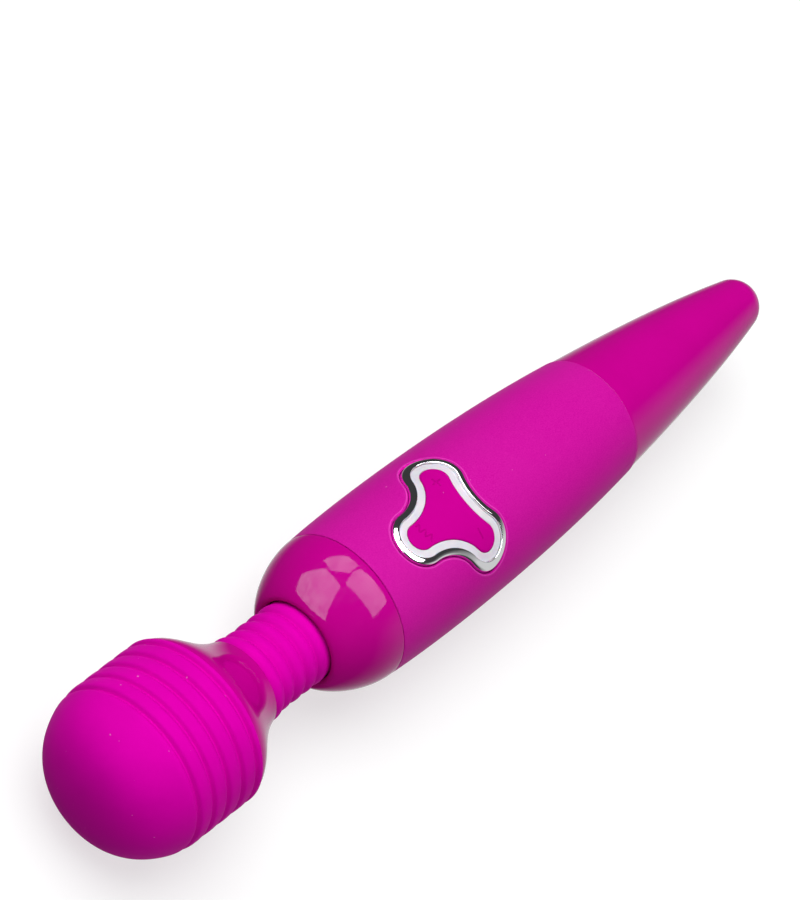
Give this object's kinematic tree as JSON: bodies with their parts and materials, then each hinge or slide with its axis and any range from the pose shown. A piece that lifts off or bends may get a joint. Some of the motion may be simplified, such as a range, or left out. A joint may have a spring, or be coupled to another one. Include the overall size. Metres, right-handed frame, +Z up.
{
  "type": "handheld wand massager",
  "caption": "Cordless handheld wand massager: ridged soft round head on a sprung bellows neck, tapered handle with a lobed, lit keypad, charging socket in the tail tip.",
  "frame": {"origin": "under the middle of the wand, on the surface that it lies on", "axes": "+X along the wand towards the tail tip, +Z up through the keypad, +Y completes the right-handed frame"},
  "size_m": [0.3, 0.0548, 0.0548],
  "materials": {
    "soft_skin": "satin soft-touch silicone",
    "gloss_shell": "polished moulded plastic",
    "satin_shell": "soft-touch coated plastic",
    "bright_trim": "bright plated",
    "light_guide": "frosted translucent light guide",
    "inner_plastic": "natural moulded",
    "black_plastic": "moulded",
    "circuit_board": "solder resist",
    "cell_wrap": "shrink wrap",
    "wire_jacket": "insulated wire",
    "seal_rubber": "moulded ring",
    "steel": "bright",
    "brass": "turned",
    "copper": "enamelled wire",
    "dark_iron": "sintered"
  },
  "bodies": {
    "handle": {"front_collar": "gloss_shell", "collar_seal": "seal_rubber", "collar_screws": "steel", "neck_rear_plug": "inner_plastic", "neck_sleeve": "soft_skin", "neck_spring": "steel", "motor_leads": "wire_jacket", "grip_sleeve": "satin_shell", "tail_cone": "gloss_shell", "tail_seal": "seal_rubber", "chassis_lower": "inner_plastic", "chassis_upper": "inner_plastic", "chassis_screws": "steel", "battery_cell": "cell_wrap", "battery_tabs": "steel", "battery_leads": "wire_jacket", "control_board": "circuit_board", "board_screws": "steel", "controller_chip": "black_plastic", "tact_switches": "black_plastic", "ring_leds": "light_guide", "light_ring": "light_guide", "control_bezel": "bright_trim", "button_pad": "soft_skin", "charge_jack": "black_plastic", "charge_board": "circuit_board", "charge_chip": "black_plastic", "jack_leads": "wire_jacket"},
    "neck_mid": {"neck_guide_ring": "inner_plastic"},
    "head": {"head_cap": "soft_skin", "head_core": "inner_plastic", "head_cup": "gloss_shell", "head_seal": "seal_rubber", "motor_can": "steel", "motor_magnets": "dark_iron", "motor_end_cap": "inner_plastic", "motor_front_bush": "brass", "motor_rear_bush": "brass", "motor_brushes": "dark_iron", "motor_bracket": "steel", "bracket_screws": "steel", "neck_front_plug": "inner_plastic"},
    "rotor": {"motor_shaft": "steel", "armature_stack": "steel", "armature_windings": "copper", "commutator": "copper", "eccentric_weight": "brass"},
    "plus_button": {"plus_key": "soft_skin", "plus_stem": "inner_plastic"},
    "minus_button": {"minus_key": "soft_skin", "minus_stem": "inner_plastic"},
    "mode_button": {"mode_key": "soft_skin", "mode_stem": "inner_plastic"}
  },
  "joints": [
    {"name": "neck_pitch", "type": "hinge", "parent": "handle", "child": "neck_mid", "pos_m": [-0.0645, 0, 0.0274], "axis": [0, 1, 0], "range_deg": [-15, 15], "stiffness_Nm_per_rad": 4, "deforming": ["neck_sleeve", "neck_spring", "motor_leads"]},
    {"name": "neck_yaw", "type": "hinge", "parent": "neck_mid", "child": "head", "pos_m": [-0.074, 0, 0.0274], "axis": [0, 0, 1], "range_deg": [-15, 15], "stiffness_Nm_per_rad": 4, "deforming": ["neck_sleeve", "neck_spring", "motor_leads"]},
    {"name": "rotor_spin", "type": "hinge", "parent": "head", "child": "rotor", "pos_m": [-0.12, 0, 0.0274], "axis": [1, 0, 0], "continuous": true},
    {"name": "plus_press", "type": "slide", "parent": "handle", "child": "plus_button", "axis": [0, 0, -1], "range_m": [0, 0.0005], "stiffness_N_per_m": 1500},
    {"name": "minus_press", "type": "slide", "parent": "handle", "child": "minus_button", "axis": [0, 0, -1], "range_m": [0, 0.0005], "stiffness_N_per_m": 1500},
    {"name": "mode_press", "type": "slide", "parent": "handle", "child": "mode_button", "axis": [0, 0, -1], "range_m": [0, 0.0005], "stiffness_N_per_m": 1500}
  ]
}
